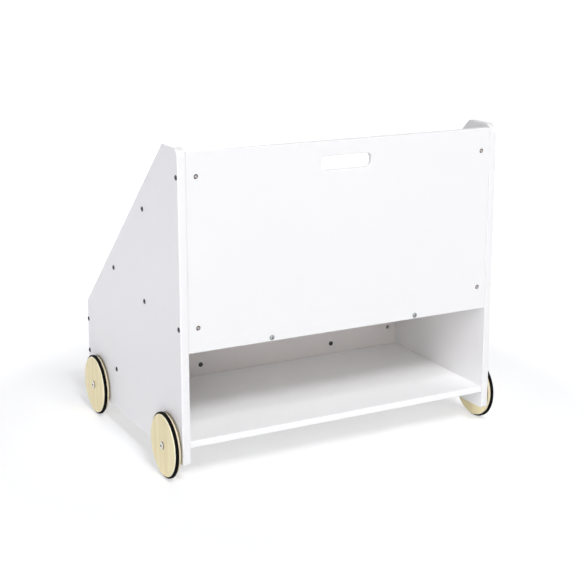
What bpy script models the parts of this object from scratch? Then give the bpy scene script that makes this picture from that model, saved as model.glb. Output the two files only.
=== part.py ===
"""A wheeled, tiered bookcase: white boards bolted together on four plywood wheels with rubber rings.

Metres, +Z up. The origin is on the floor under the middle of the bookcase. The tiers face -Y, and the
back panel with its grip slot faces +Y. Left is -X and right is +X, as seen from in front of the tiers.
"""

import math

import bmesh
import bpy
from mathutils import Matrix, Vector

# Side panels
CASE_WIDTH = 0.650
CASE_DEPTH = 0.492
SIDE_THICK = 0.015
SIDE_TOP = 0.599
SIDE_BOTTOM = 0.036
SIDE_TOP_DEPTH = 0.070
SLOPE_FOOT = 0.219
REAR_CORNER_ROUND = 0.018
SIDE_CORNER_ROUND = 0.006
SIDE_EDGE_ROUND = 0.003

# Boards between the side panels
BOARD_THICK = 0.012
BOARD_EDGE_ROUND = 0.0018
BOARD_INSET = 0.001
BACK_DROP = 0.007
SLOPE_DROP = 0.007
BACK_BOTTOM = 0.241
UPPER_FLOOR_RISE = 0.001
SHELF_BOTTOM = 0.069
POCKET_FLOOR_BOTTOM = 0.097

# Grip slot in the back panel
GRIP_WIDTH = 0.102
GRIP_HEIGHT = 0.025
GRIP_DROP = 0.028
GRIP_CORNER_ROUND = 0.009

# Connector bolts and barrel nuts
BOLT_RADIUS = 0.0025
BOLT_REACH = 0.026
HEAD_RADIUS = 0.00475
HEAD_HEIGHT = 0.0019
SOCKET_FLATS = 0.003
SOCKET_DEPTH = 0.0014
NUT_RADIUS = 0.004
NUT_INSET = 0.0185
NUT_RECESS = 0.0006
NUT_COVER = 0.002
NUT_SLOT_WIDTH = 0.0012
NUT_SLOT_DEPTH = 0.001
BACK_BOLT_DROP = 0.043
TIER_BOLT_DROP = 0.033
BACK_BOLT_RISE = 0.044
REAR_BOLT_RISE = 0.042
MIDDLE_BOLT_RISE = 0.050
FRONT_BOLT_RISE = 0.044
SHELF_BOLT_INSET = 0.095
FLOOR_BOLT_SPACING = 0.300

# Wheels
TYRE_RADIUS = 0.060
TYRE_WIDTH = 0.0052
TYRE_EDGE_ROUND = 0.0012
TYRE_SEAT_DEPTH = 0.002
DISC_RADIUS = 0.0565
DISC_THICK = 0.012
DISC_LIP = 0.002
DISC_EDGE_ROUND = 0.001
AXLE_RADIUS = 0.004
AXLE_REACH = 0.0125
AXLE_HEAD_RADIUS = 0.0075
AXLE_HEAD_HEIGHT = 0.0028
AXLE_SOCKET_FLATS = 0.005
WASHER_RADIUS = 0.009
WASHER_THICK = 0.0024
REAR_AXLE_INSET = 0.0575
FRONT_AXLE_INSET = 0.070

# Clearances
SEAT_GAP = 0.0003
BORE_GAP = 0.0003
BORE_END_GAP = 0.001
CUT_OVERRUN = 0.001

# Facets
WHEEL_STEPS = 36
BOLT_STEPS = 10
AXLE_STEPS = 16
BORE_SIDES = 12
ARC_STEP = math.radians(22.5)
BEVEL_STEPS = 2
GRIP_STEPS = 5
BEVEL_ANGLE = math.radians(40)
SMOOTH_ANGLE = math.radians(35)
MERGE_DISTANCE = 0.00001

# Places worked out from the sizes
AXLE_HEIGHT = TYRE_RADIUS * math.cos(math.pi / WHEEL_STEPS)
HEAD_REACH = SEAT_GAP + HEAD_HEIGHT - BOARD_INSET
REAR_REACH = max(0.0, HEAD_REACH, AXLE_HEIGHT - REAR_AXLE_INSET)
FRONT_REACH = max(0.0, HEAD_REACH, AXLE_HEIGHT - FRONT_AXLE_INSET)
REAR_Y = (CASE_DEPTH + FRONT_REACH - REAR_REACH) / 2
FRONT_Y = REAR_Y - CASE_DEPTH
HALF_WIDTH = CASE_WIDTH / 2
BOARD_END = HALF_WIDTH - SIDE_THICK - SEAT_GAP
BACK_Y = REAR_Y - BOARD_INSET - BOARD_THICK / 2
FRONT_BOARD_Y = FRONT_Y + BOARD_INSET + BOARD_THICK / 2
TIER_PITCH = (BACK_Y - FRONT_BOARD_Y) / 3
REAR_DIVIDER_Y = BACK_Y - TIER_PITCH
MIDDLE_DIVIDER_Y = BACK_Y - 2 * TIER_PITCH
BACK_TOP = SIDE_TOP - BACK_DROP
UPPER_FLOOR_BOTTOM = BACK_BOTTOM + UPPER_FLOOR_RISE
UPPER_FLOOR_TOP = UPPER_FLOOR_BOTTOM + BOARD_THICK
UPPER_FLOOR_MID = UPPER_FLOOR_BOTTOM + BOARD_THICK / 2
SHELF_MID = SHELF_BOTTOM + BOARD_THICK / 2
POCKET_FLOOR_MID = POCKET_FLOOR_BOTTOM + BOARD_THICK / 2

SIDES = {"left": -1, "right": 1}
AXLE_Y = {"rear": REAR_Y - REAR_AXLE_INSET, "front": FRONT_Y + FRONT_AXLE_INSET}

# Dome of a bolt head, from its middle out, as shares of the head's radius and height
HEAD_DOME = ((0, 1), (0.7, 0.92), (1, 0.35))

# Looks: colour, roughness and metallic value
LACQUER = ((0.88, 0.88, 0.90), 0.35, 0.0)
BIRCH = ((0.78, 0.68, 0.44), 0.55, 0.0)
RUBBER = ((0.015, 0.015, 0.015), 0.7, 0.0)
STEEL = ((0.55, 0.56, 0.57), 0.35, 1.0)


def slope_height(y):
    """Height of the side panels' sloping edge at a place between back and front."""
    fall = (SIDE_TOP - SLOPE_FOOT) / (CASE_DEPTH - SIDE_TOP_DEPTH)
    return SIDE_TOP - (REAR_Y - SIDE_TOP_DEPTH - y) * fall


def tier_top(y):
    """Top of a cross board that stays a little under the slope at its front face."""
    return slope_height(y - BOARD_THICK / 2) - SLOPE_DROP


def new_collection(name):
    """A collection linked to the scene."""
    collection = bpy.data.collections.new(name)
    bpy.context.scene.collection.children.link(collection)
    return collection


def finish(obj, look):
    """Gives an object its own plain material."""
    colour, roughness, metallic = look
    material = bpy.data.materials.new(obj.name + "_finish")
    material.use_nodes = True
    shader = material.node_tree.nodes["Principled BSDF"]
    shader.inputs["Base Color"].default_value = (*colour, 1.0)
    shader.inputs["Roughness"].default_value = roughness
    shader.inputs["Metallic"].default_value = metallic
    obj.data.materials.clear()
    obj.data.materials.append(material)


def add_part(name, mesh, look):
    """A named piece of the bookcase."""
    obj = bpy.data.objects.new(name, mesh)
    parts.objects.link(obj)
    finish(obj, look)
    return obj


def add_cutter(name, mesh):
    """A helper that is only subtracted from pieces."""
    obj = bpy.data.objects.new(name, mesh)
    cutters.objects.link(obj)
    obj.hide_render = True
    obj.display_type = "WIRE"
    return obj


def subtract(target, cutter):
    """Cuts one object out of another."""
    cut = target.modifiers.new("cut_" + cutter.name, "BOOLEAN")
    cut.operation = "DIFFERENCE"
    cut.solver = "EXACT"
    cut.object = cutter


def round_edges(obj, width, segments=BEVEL_STEPS):
    """Rounds the sharp edges of a piece."""
    bevel = obj.modifiers.new("rounding", "BEVEL")
    bevel.width = width
    bevel.segments = segments
    bevel.limit_method = "ANGLE"
    bevel.angle_limit = BEVEL_ANGLE


def mesh_from(name, shape):
    """A mesh data block from a bmesh, which is freed."""
    mesh = bpy.data.meshes.new(name)
    shape.to_mesh(mesh)
    shape.free()
    return mesh


def turned(name, profile, steps, closed):
    """A solid turned about Z from (radius, height) points that run down its outer side.

    The facets are set half a step round, so that a wheel stands on a facet and not on an edge.
    """
    shape = bmesh.new()
    points = [shape.verts.new((radius, 0, height)) for radius, height in profile]
    for start, end in zip(points, points[1:]):
        shape.edges.new((start, end))
    if closed:
        shape.edges.new((points[-1], points[0]))
    pattern = bpy.data.objects.new(name + "_profile", mesh_from(name + "_profile", shape))
    bpy.context.scene.collection.objects.link(pattern)
    screw = pattern.modifiers.new("turning", "SCREW")
    screw.steps = steps
    screw.render_steps = steps
    screw.use_merge_vertices = True
    screw.merge_threshold = MERGE_DISTANCE
    mesh = bpy.data.meshes.new_from_object(pattern.evaluated_get(bpy.context.evaluated_depsgraph_get()))
    mesh.name = name
    mesh.transform(Matrix.Rotation(math.pi / steps, 4, "Z"))
    bpy.data.objects.remove(pattern)
    mesh.shade_smooth()
    mesh.set_sharp_from_angle(angle=SMOOTH_ANGLE)
    return mesh


def cut_mesh(name, mesh, cutter_meshes):
    """The mesh with other meshes cut out of it."""
    block = bpy.data.objects.new(name, mesh)
    bpy.context.scene.collection.objects.link(block)
    helpers = [add_cutter(f"{name}_cutter_{index}", cutter) for index, cutter in enumerate(cutter_meshes)]
    for helper in helpers:
        subtract(block, helper)
    result = bpy.data.meshes.new_from_object(block.evaluated_get(bpy.context.evaluated_depsgraph_get()))
    result.name = name
    bpy.data.objects.remove(block)
    for helper in helpers:
        bpy.data.objects.remove(helper)
    return result


def prism(name, sides, radius, low, high):
    """A closed prism or cylinder about Z."""
    shape = bmesh.new()
    place = Matrix.Translation((0, 0, (low + high) / 2))
    bmesh.ops.create_cone(
        shape, cap_ends=True, segments=sides, radius1=radius, radius2=radius, depth=high - low, matrix=place
    )
    return mesh_from(name, shape)


def bolt_mesh(name, head_radius, head_height, shank_radius, shank_length, flats, steps):
    """A domed bolt along Z with its head above zero and a hexagon socket."""
    dome = [(head_radius * across, head_height * up) for across, up in HEAD_DOME]
    shank = [(shank_radius, 0), (shank_radius, -shank_length), (0, -shank_length)]
    profile = dome + [(head_radius, 0)] + shank
    body = turned(name, profile, steps, closed=False)
    socket_radius = flats / math.sqrt(3)
    socket = prism(name + "_socket", 6, socket_radius, head_height - SOCKET_DEPTH, head_height + CUT_OVERRUN)
    return cut_mesh(name, body, [socket])


def toward(direction):
    """Rotation that turns +Z to a direction."""
    return Vector((0, 0, 1)).rotation_difference(Vector(direction)).to_euler()


def add_board(name, low, high):
    """A board between two corners, with rounded edges."""
    low, high = Vector(low), Vector(high)
    shape = bmesh.new()
    bmesh.ops.create_cube(shape, size=1)
    bmesh.ops.scale(shape, vec=high - low, verts=shape.verts)
    board = add_part(name, mesh_from(name, shape), LACQUER)
    board.location = (low + high) / 2
    round_edges(board, BOARD_EDGE_ROUND)
    boards[name] = board
    bores[name] = []
    return board


def add_upright(name, y, bottom, top):
    """A cross board that stands between the side panels."""
    return add_board(
        name,
        (-BOARD_END, y - BOARD_THICK / 2, bottom),
        (BOARD_END, y + BOARD_THICK / 2, top),
    )


def add_floor(name, rear, front, bottom):
    """A level board between the side panels."""
    return add_board(name, (-BOARD_END, front, bottom), (BOARD_END, rear, bottom + BOARD_THICK))


def rounded_outline(corners):
    """Points round a convex outline, counter-clockwise, with each (corner, radius) turned into an arc."""
    points = []
    for index, (corner, radius) in enumerate(corners):
        back = (corners[index - 1][0] - corner).normalized()
        ahead = (corners[(index + 1) % len(corners)][0] - corner).normalized()
        half = back.angle(ahead) / 2
        centre = corner + (back + ahead).normalized() * (radius / math.sin(half))
        arm = corner + back * (radius / math.tan(half)) - centre
        sweep = math.pi - 2 * half
        steps = max(1, math.ceil(sweep / ARC_STEP))
        for step in range(steps + 1):
            points.append(centre + Matrix.Rotation(sweep * step / steps, 2) @ arm)
    return points


def side_outline():
    """Outline of a side panel, as points of depth from the rear and height."""
    corners = [
        (Vector((REAR_Y, SIDE_BOTTOM)), SIDE_CORNER_ROUND),
        (Vector((REAR_Y, SIDE_TOP)), REAR_CORNER_ROUND),
        (Vector((REAR_Y - SIDE_TOP_DEPTH, SIDE_TOP)), SIDE_CORNER_ROUND),
        (Vector((FRONT_Y, SLOPE_FOOT)), SIDE_CORNER_ROUND),
        (Vector((FRONT_Y, SIDE_BOTTOM)), SIDE_CORNER_ROUND),
    ]
    return rounded_outline(corners)


def add_side_panel(name, sign):
    """A side panel cut to its outline and rounded on its edges."""
    outline = bpy.data.curves.new(name + "_outline", "CURVE")
    outline.dimensions = "2D"
    outline.fill_mode = "BOTH"
    outline.extrude = SIDE_THICK / 2
    points = side_outline()
    spline = outline.splines.new("POLY")
    spline.points.add(len(points) - 1)
    for point, place in zip(spline.points, points):
        point.co = (place.x, place.y, 0, 1)
    spline.use_cyclic_u = True
    drawing = bpy.data.objects.new(name + "_outline", outline)
    bpy.context.scene.collection.objects.link(drawing)
    mesh = bpy.data.meshes.new_from_object(drawing.evaluated_get(bpy.context.evaluated_depsgraph_get()))
    mesh.name = name
    bpy.data.objects.remove(drawing)
    shape = bmesh.new()
    shape.from_mesh(mesh)
    bmesh.ops.remove_doubles(shape, verts=shape.verts, dist=MERGE_DISTANCE)
    bmesh.ops.dissolve_limit(
        shape, angle_limit=math.radians(1), verts=shape.verts, edges=shape.edges
    )
    shape.to_mesh(mesh)
    shape.free()
    panel = add_part(name, mesh, LACQUER)
    panel.matrix_world = Matrix(
        ((0, 0, 1, sign * (HALF_WIDTH - SIDE_THICK / 2)), (1, 0, 0, 0), (0, 1, 0, 0), (0, 0, 0, 1))
    )
    round_edges(panel, SIDE_EDGE_ROUND)
    boards[name] = panel
    bores[name] = []


def add_boards():
    """The two side panels and the boards between them."""
    for side, sign in SIDES.items():
        add_side_panel("side_panel_" + side, sign)
    add_upright("back_panel", BACK_Y, BACK_BOTTOM, BACK_TOP)
    add_upright("rear_divider", REAR_DIVIDER_Y, UPPER_FLOOR_TOP + SEAT_GAP, tier_top(REAR_DIVIDER_Y))
    add_upright("middle_divider", MIDDLE_DIVIDER_Y, SHELF_BOTTOM, tier_top(MIDDLE_DIVIDER_Y))
    add_upright("front_panel", FRONT_BOARD_Y, SHELF_BOTTOM, tier_top(FRONT_BOARD_Y))
    seat = BOARD_THICK / 2 + SEAT_GAP
    add_floor("upper_floor", BACK_Y - seat, MIDDLE_DIVIDER_Y + seat, UPPER_FLOOR_BOTTOM)
    add_floor("bottom_shelf", REAR_Y - BOARD_INSET, MIDDLE_DIVIDER_Y + seat, SHELF_BOTTOM)
    add_floor("pocket_floor", MIDDLE_DIVIDER_Y - seat, FRONT_BOARD_Y + seat, POCKET_FLOOR_BOTTOM)


def add_bore(board, mouth, outward, radius, depth):
    """Notes a round hole to be drilled into a board from its mouth."""
    bores[board].append((Vector(mouth), Vector(outward), radius, depth))


def add_bolt(name, face, outward, mesh, reach, through, into):
    """A bolt whose head sits on a face, through one board and into the edge of another."""
    bolt = add_part(name, mesh.copy(), STEEL)
    bolt.location = Vector(face) + Vector(outward) * SEAT_GAP
    bolt.rotation_euler = toward(outward)
    for board in (through, into):
        add_bore(board, face, outward, BOLT_RADIUS + BORE_GAP, reach + BORE_END_GAP)


def add_side_bolts():
    """Bolts through the side panels into the ends of the cross boards and the bottom shelf."""
    reach = SIDE_THICK + SEAT_GAP + BOLT_REACH
    mesh = bolt_mesh("side_bolt", HEAD_RADIUS, HEAD_HEIGHT, BOLT_RADIUS, reach, SOCKET_FLATS, BOLT_STEPS)
    rear_low = UPPER_FLOOR_TOP + REAR_BOLT_RISE
    places = {
        "back_panel": (BACK_Y, BACK_TOP - BACK_BOLT_DROP, BACK_BOTTOM + BACK_BOLT_RISE),
        "rear_divider": (REAR_DIVIDER_Y, tier_top(REAR_DIVIDER_Y) - TIER_BOLT_DROP, rear_low),
        "middle_divider": (
            MIDDLE_DIVIDER_Y,
            tier_top(MIDDLE_DIVIDER_Y) - TIER_BOLT_DROP,
            SHELF_BOTTOM + MIDDLE_BOLT_RISE,
        ),
        "front_panel": (
            FRONT_BOARD_Y,
            tier_top(FRONT_BOARD_Y) - TIER_BOLT_DROP,
            SHELF_BOTTOM + FRONT_BOLT_RISE,
        ),
    }
    for side, sign in SIDES.items():
        panel = "side_panel_" + side
        outward = (sign, 0, 0)
        for board, (y, upper, lower) in places.items():
            for level, height in (("upper", upper), ("lower", lower)):
                face = (sign * HALF_WIDTH, y, height)
                add_bolt(f"{board}_bolt_{side}_{level}", face, outward, mesh, reach, panel, board)
        face = (sign * HALF_WIDTH, REAR_Y - SHELF_BOLT_INSET, SHELF_MID)
        add_bolt(f"shelf_bolt_{side}", face, outward, mesh, reach, panel, "bottom_shelf")


def add_floor_bolts():
    """Bolts through the cross boards into the edges of the level boards."""
    reach = BOARD_THICK + SEAT_GAP + BOLT_REACH
    mesh = bolt_mesh("floor_bolt", HEAD_RADIUS, HEAD_HEIGHT, BOLT_RADIUS, reach, SOCKET_FLATS, BOLT_STEPS)
    rows = [
        ("back_floor_bolt", "back_panel", BACK_Y, "upper_floor", UPPER_FLOOR_MID, 1),
        ("divider_floor_bolt", "middle_divider", MIDDLE_DIVIDER_Y, "upper_floor", UPPER_FLOOR_MID, -1),
        ("divider_shelf_bolt", "middle_divider", MIDDLE_DIVIDER_Y, "bottom_shelf", SHELF_MID, -1),
        ("divider_pocket_bolt", "middle_divider", MIDDLE_DIVIDER_Y, "pocket_floor", POCKET_FLOOR_MID, 1),
        ("front_pocket_bolt", "front_panel", FRONT_BOARD_Y, "pocket_floor", POCKET_FLOOR_MID, -1),
    ]
    for row, through, y, into, height, facing in rows:
        for side, sign in SIDES.items():
            face = (sign * FLOOR_BOLT_SPACING / 2, y + facing * BOARD_THICK / 2, height)
            add_bolt(f"{row}_{side}", face, (0, facing, 0), mesh, reach, through, into)


def nut_mesh():
    """A slotted barrel nut along Z, with its end at zero and a cross hole for the bolt."""
    length = BOARD_THICK - NUT_RECESS - NUT_COVER - SEAT_GAP
    body = prism("barrel_nut", AXLE_STEPS, NUT_RADIUS, -length, 0)
    hole = prism("cross_hole", BORE_SIDES, BOLT_RADIUS + BORE_GAP, -NUT_RADIUS * 2, NUT_RADIUS * 2)
    hole.transform(Matrix.Rotation(math.pi / 2, 4, "Y"))
    hole.transform(Matrix.Translation((0, 0, NUT_RECESS - BOARD_THICK / 2)))
    shape = bmesh.new()
    bmesh.ops.create_cube(shape, size=1)
    slot_size = (NUT_RADIUS * 4, NUT_SLOT_WIDTH, NUT_SLOT_DEPTH * 2)
    bmesh.ops.scale(shape, vec=slot_size, verts=shape.verts)
    return cut_mesh("barrel_nut", body, [hole, mesh_from("nut_slot", shape)])


def add_barrel_nuts():
    """Barrel nuts in the rear face of the back panel, on the axes of its side bolts."""
    mesh = nut_mesh()
    rear_face = BACK_Y + BOARD_THICK / 2
    depth = BOARD_THICK - NUT_COVER
    levels = {"upper": BACK_TOP - BACK_BOLT_DROP, "lower": BACK_BOTTOM + BACK_BOLT_RISE}
    for side, sign in SIDES.items():
        for level, height in levels.items():
            mouth = Vector((sign * (BOARD_END - NUT_INSET), rear_face, height))
            nut = add_part(f"barrel_nut_{side}_{level}", mesh.copy(), STEEL)
            nut.location = mouth - Vector((0, NUT_RECESS, 0))
            nut.rotation_euler = toward((0, 1, 0))
            add_bore("back_panel", mouth, (0, 1, 0), NUT_RADIUS + BORE_GAP, depth)


def disc_mesh():
    """A plywood wheel about Z, with its inner face at zero, a bore and a groove for the ring."""
    bore = AXLE_RADIUS + BORE_GAP
    groove_top = DISC_THICK - DISC_LIP
    groove_bottom = groove_top - TYRE_WIDTH - 2 * SEAT_GAP
    groove_radius = DISC_RADIUS - TYRE_SEAT_DEPTH
    profile = [
        (bore, DISC_THICK),
        (DISC_RADIUS - DISC_EDGE_ROUND, DISC_THICK),
        (DISC_RADIUS, DISC_THICK - DISC_EDGE_ROUND),
        (DISC_RADIUS, groove_top),
        (groove_radius, groove_top),
        (groove_radius, groove_bottom),
        (DISC_RADIUS, groove_bottom),
        (DISC_RADIUS, DISC_EDGE_ROUND),
        (DISC_RADIUS - DISC_EDGE_ROUND, 0),
        (bore, 0),
    ]
    return turned("wheel_disc", profile, WHEEL_STEPS, closed=True)


def tyre_mesh():
    """The rubber ring that sits in a wheel's groove."""
    top = DISC_THICK - DISC_LIP - SEAT_GAP
    bottom = top - TYRE_WIDTH
    inside = DISC_RADIUS - TYRE_SEAT_DEPTH + SEAT_GAP
    profile = [
        (inside, top),
        (TYRE_RADIUS - TYRE_EDGE_ROUND, top),
        (TYRE_RADIUS, top - TYRE_EDGE_ROUND),
        (TYRE_RADIUS, bottom + TYRE_EDGE_ROUND),
        (TYRE_RADIUS - TYRE_EDGE_ROUND, bottom),
        (inside, bottom),
    ]
    return turned("tyre", profile, WHEEL_STEPS, closed=True)


def washer_mesh():
    """The spacer between a side panel and its wheel."""
    bore = AXLE_RADIUS + BORE_GAP
    profile = [(bore, WASHER_THICK), (WASHER_RADIUS, WASHER_THICK), (WASHER_RADIUS, 0), (bore, 0)]
    return turned("axle_washer", profile, AXLE_STEPS, closed=True)


def add_wheels():
    """Four wheels, each turning on a bolt that is screwed into a side panel."""
    disc, tyre, washer = disc_mesh(), tyre_mesh(), washer_mesh()
    washer_seat = SEAT_GAP
    disc_seat = washer_seat + WASHER_THICK + SEAT_GAP
    head_seat = disc_seat + DISC_THICK + SEAT_GAP
    shank = head_seat + AXLE_REACH
    axle = bolt_mesh(
        "axle_bolt", AXLE_HEAD_RADIUS, AXLE_HEAD_HEIGHT, AXLE_RADIUS, shank, AXLE_SOCKET_FLATS, AXLE_STEPS
    )
    for end, y in AXLE_Y.items():
        for side, sign in SIDES.items():
            face = Vector((sign * HALF_WIDTH, y, AXLE_HEIGHT))
            outward = Vector((sign, 0, 0))
            add_bore("side_panel_" + side, face, outward, AXLE_RADIUS + BORE_GAP, AXLE_REACH + BORE_END_GAP)
            pivot = bpy.data.objects.new(f"axle_{end}_{side}", None)
            pivot.empty_display_size = TYRE_RADIUS / 2
            pivot.location = face
            pivot.rotation_euler = toward(outward)
            parts.objects.link(pivot)
            stack = [
                (f"axle_washer_{end}_{side}", washer, STEEL, washer_seat),
                (f"wheel_{end}_{side}", disc, BIRCH, disc_seat),
                (f"tyre_{end}_{side}", tyre, RUBBER, disc_seat),
                (f"axle_bolt_{end}_{side}", axle, STEEL, head_seat),
            ]
            for name, mesh, look, seat in stack:
                piece = add_part(name, mesh.copy(), look)
                piece.parent = pivot
                piece.location = (0, 0, seat)


def cut_grip():
    """The rounded slot in the back panel that a hand goes through."""
    shape = bmesh.new()
    bmesh.ops.create_cube(shape, size=1)
    size = (GRIP_WIDTH, BOARD_THICK + 2 * CUT_OVERRUN, GRIP_HEIGHT)
    bmesh.ops.scale(shape, vec=size, verts=shape.verts)
    corners = [edge for edge in shape.edges if abs((edge.verts[0].co - edge.verts[1].co).y) > BOARD_THICK]
    bmesh.ops.bevel(
        shape, geom=corners, offset=GRIP_CORNER_ROUND, segments=GRIP_STEPS, profile=0.5, affect="EDGES"
    )
    grip = add_cutter("grip_slot", mesh_from("grip_slot", shape))
    grip.location = (0, BACK_Y, BACK_TOP - GRIP_DROP - GRIP_HEIGHT / 2)
    subtract(boards["back_panel"], grip)


def add_bore_cutter(name, holes):
    """A cutter with one cylinder for each bore."""
    shape = bmesh.new()
    for mouth, outward, radius, depth in holes:
        length = depth + CUT_OVERRUN
        middle = mouth + outward * (CUT_OVERRUN - length / 2)
        place = Matrix.Translation(middle) @ toward(outward).to_matrix().to_4x4()
        bmesh.ops.create_cone(
            shape,
            cap_ends=True,
            segments=BORE_SIDES,
            radius1=radius,
            radius2=radius,
            depth=length,
            matrix=place,
        )
    return add_cutter(name, mesh_from(name, shape))


def drill_boards():
    """Drills every noted bore. The bores along X and along Y are cut in turn, because some cross."""
    for board, holes in bores.items():
        for index, axis in enumerate("xy"):
            along = [hole for hole in holes if abs(hole[1][index]) > 0.5]
            if along:
                subtract(boards[board], add_bore_cutter(f"{board}_bores_{axis}", along))


for old in list(bpy.data.objects):
    bpy.data.objects.remove(old)
parts = new_collection("bookshelf")
cutters = new_collection("cutters")
boards = {}
bores = {}
add_boards()
add_side_bolts()
add_floor_bolts()
add_barrel_nuts()
add_wheels()
cut_grip()
drill_boards()
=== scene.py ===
"""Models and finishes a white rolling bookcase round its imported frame."""

import math

import bmesh
import bpy
from bpy.props import FloatProperty, FloatVectorProperty, IntProperty, PointerProperty
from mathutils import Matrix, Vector


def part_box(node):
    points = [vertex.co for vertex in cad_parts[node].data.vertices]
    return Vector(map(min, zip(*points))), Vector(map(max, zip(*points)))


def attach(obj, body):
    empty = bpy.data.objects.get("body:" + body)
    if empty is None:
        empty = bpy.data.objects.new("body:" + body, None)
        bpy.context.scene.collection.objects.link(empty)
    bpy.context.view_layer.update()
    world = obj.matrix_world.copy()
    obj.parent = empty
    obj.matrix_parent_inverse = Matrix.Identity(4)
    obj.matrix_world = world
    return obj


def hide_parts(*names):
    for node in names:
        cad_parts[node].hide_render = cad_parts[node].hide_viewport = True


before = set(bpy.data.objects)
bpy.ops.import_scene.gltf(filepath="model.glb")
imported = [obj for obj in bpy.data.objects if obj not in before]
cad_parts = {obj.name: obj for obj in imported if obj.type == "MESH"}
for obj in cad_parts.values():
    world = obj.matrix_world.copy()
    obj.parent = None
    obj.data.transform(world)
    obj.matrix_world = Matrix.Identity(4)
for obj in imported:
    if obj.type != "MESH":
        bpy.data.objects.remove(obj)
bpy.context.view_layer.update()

bl_info = {
    "name": "Rolling Bookcase",
    "version": (1, 0, 0),
    "blender": (4, 5, 0),
    "location": "View3D > Sidebar > Bookcase",
    "description": "Models and finishes a white tiered bookcase on plywood wheels",
    "category": "Add Mesh",
}

# Axes by number.
X = 0
Y = 1
# Sides of the case, with the way that each one faces along X.
SIDES = {"left": -1, "right": 1}
ENDS = ("rear", "front")
LEVELS = ("upper", "lower")
CROSS_BOARDS = ("back_panel", "rear_divider", "middle_divider", "front_panel")
LEVEL_BOARDS = ("upper_floor", "bottom_shelf", "pocket_floor")
# Seams between a cross board and a level board, with the way their bolt heads face along Y.
SEAMS = {"back_floor": 1, "divider_floor": -1, "divider_shelf": -1, "divider_pocket": 1, "front_pocket": -1}
# Turns about the upright axis that bring a piece facing -X to face one way along an axis.
FACING = {(X, -1): 0.0, (X, 1): math.pi, (Y, 1): -math.pi / 2, (Y, -1): math.pi / 2}
# Turns that lay an upright rod along an axis.
ROD_TURNS = {X: (0, math.pi / 2, 0), Y: (math.pi / 2, 0, 0)}
# Measures that differ by less than TOUCH agree, and points closer than MERGE are one point.
TOUCH = 1e-5
MERGE = TOUCH / 10
# Edges sharper than this stay sharp when a piece is shaded.
SMOOTH_ANGLE = math.radians(32)
# Sockets of the Mix node by number, because its kinds share their names.
MIX_FACTOR = 0
MIX_NUMBERS = (2, 3)
MIX_COLOURS = (6, 7)
MIX_COLOUR_RESULT = 2


# Sizes, finishes and studio

def length_property(label, description, default):
    """A length that a user can change."""
    return FloatProperty(name=label, description=description, default=default, unit="LENGTH")


def colour_property(label, description, default):
    """A colour that a user can change."""
    return FloatVectorProperty(
        name=label, description=description, default=default, subtype="COLOR", size=3)


class BookcaseSizes(bpy.types.PropertyGroup):
    """Sizes of edges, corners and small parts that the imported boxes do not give"""

    top_depth: length_property("Top Depth", "Depth of the side panels' level top", 0.070)
    slope_foot: length_property("Slope Foot", "Height at which the sloping front edge ends", 0.219)
    rear_corner: length_property("Rear Corner", "Radius of the side panels' rear top corner", 0.018)
    corner: length_property("Corner", "Radius of the side panels' other corners", 0.006)
    side_edge: length_property("Side Edge", "Rounding along the side panels' outer rim", 0.003)
    side_edge_inner: length_property(
        "Inner Side Edge", "Rounding along the side panels' inner rim", 0.001)
    board_edge: length_property(
        "Board Edge", "Rounding along the boards' long edges and the grip slot", 0.0018)
    board_end: length_property("Board End", "Eased edge where a board butts against a side panel", 0.0004)
    grip_width: length_property("Grip Width", "Width of the grip slot", 0.102)
    grip_height: length_property("Grip Height", "Height of the grip slot", 0.025)
    grip_drop: length_property("Grip Drop", "Distance from the back panel's top to the grip slot", 0.028)
    grip_corner: length_property("Grip Corner", "Corner radius of the grip slot", 0.009)
    bore_gap: length_property("Bore Gap", "Clearance round bolts, nuts and axles", 0.0003)
    bolt_radius: length_property("Bolt Radius", "Radius of the connector bolts' shanks", 0.0025)
    bolt_land: length_property("Bolt Land", "Upright rim of a bolt head under its dome", 0.0006)
    bolt_flats: length_property("Bolt Flats", "Width across flats of the bolts' sockets", 0.0034)
    bolt_socket: length_property("Bolt Socket", "Depth of the bolts' sockets", 0.003)
    nut_slot_width: length_property("Nut Slot Width", "Width of the barrel nuts' driver slot", 0.0009)
    nut_chamfer: length_property("Nut Chamfer", "Bevelled rim of the barrel nuts' outer face", 0.002)
    nut_slot_depth: length_property("Nut Slot Depth", "Depth of the barrel nuts' driver slot", 0.001)
    axle_radius: length_property("Axle Radius", "Radius of the axle bolts' shanks", 0.004)
    axle_flats: length_property("Axle Flats", "Width across flats of the axle bolts' sockets", 0.005)
    axle_socket: length_property("Axle Socket", "Depth of the axle bolts' sockets", 0.0035)
    axle_land: length_property("Axle Land", "Upright rim of an axle bolt's head", 0.0014)
    tyre_seat: length_property("Tyre Seat", "Depth of the groove that holds the rubber ring", 0.002)
    disc_edge: length_property("Disc Edge", "Rounding of the plywood discs' rims", 0.0014)
    # On the rim, the face ply in front of the ring shows the painted highlight colour, not end grain.
    disc_lip: length_property(
        "Disc Lip", "Depth of the pale face ply in front of the rubber ring", 0.0025)
    tyre_edge: length_property("Tyre Edge", "Rounding of the rubber rings", 0.0012)
    fine_edge: length_property("Fine Edge", "Broken edge of holes, grooves and metal parts", 0.0003)
    wheel_steps: IntProperty(
        name="Wheel Steps", description="Steps round a wheel", default=128)
    metal_steps: IntProperty(
        name="Metal Steps", description="Steps round a bolt, nut or washer", default=48)


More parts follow.
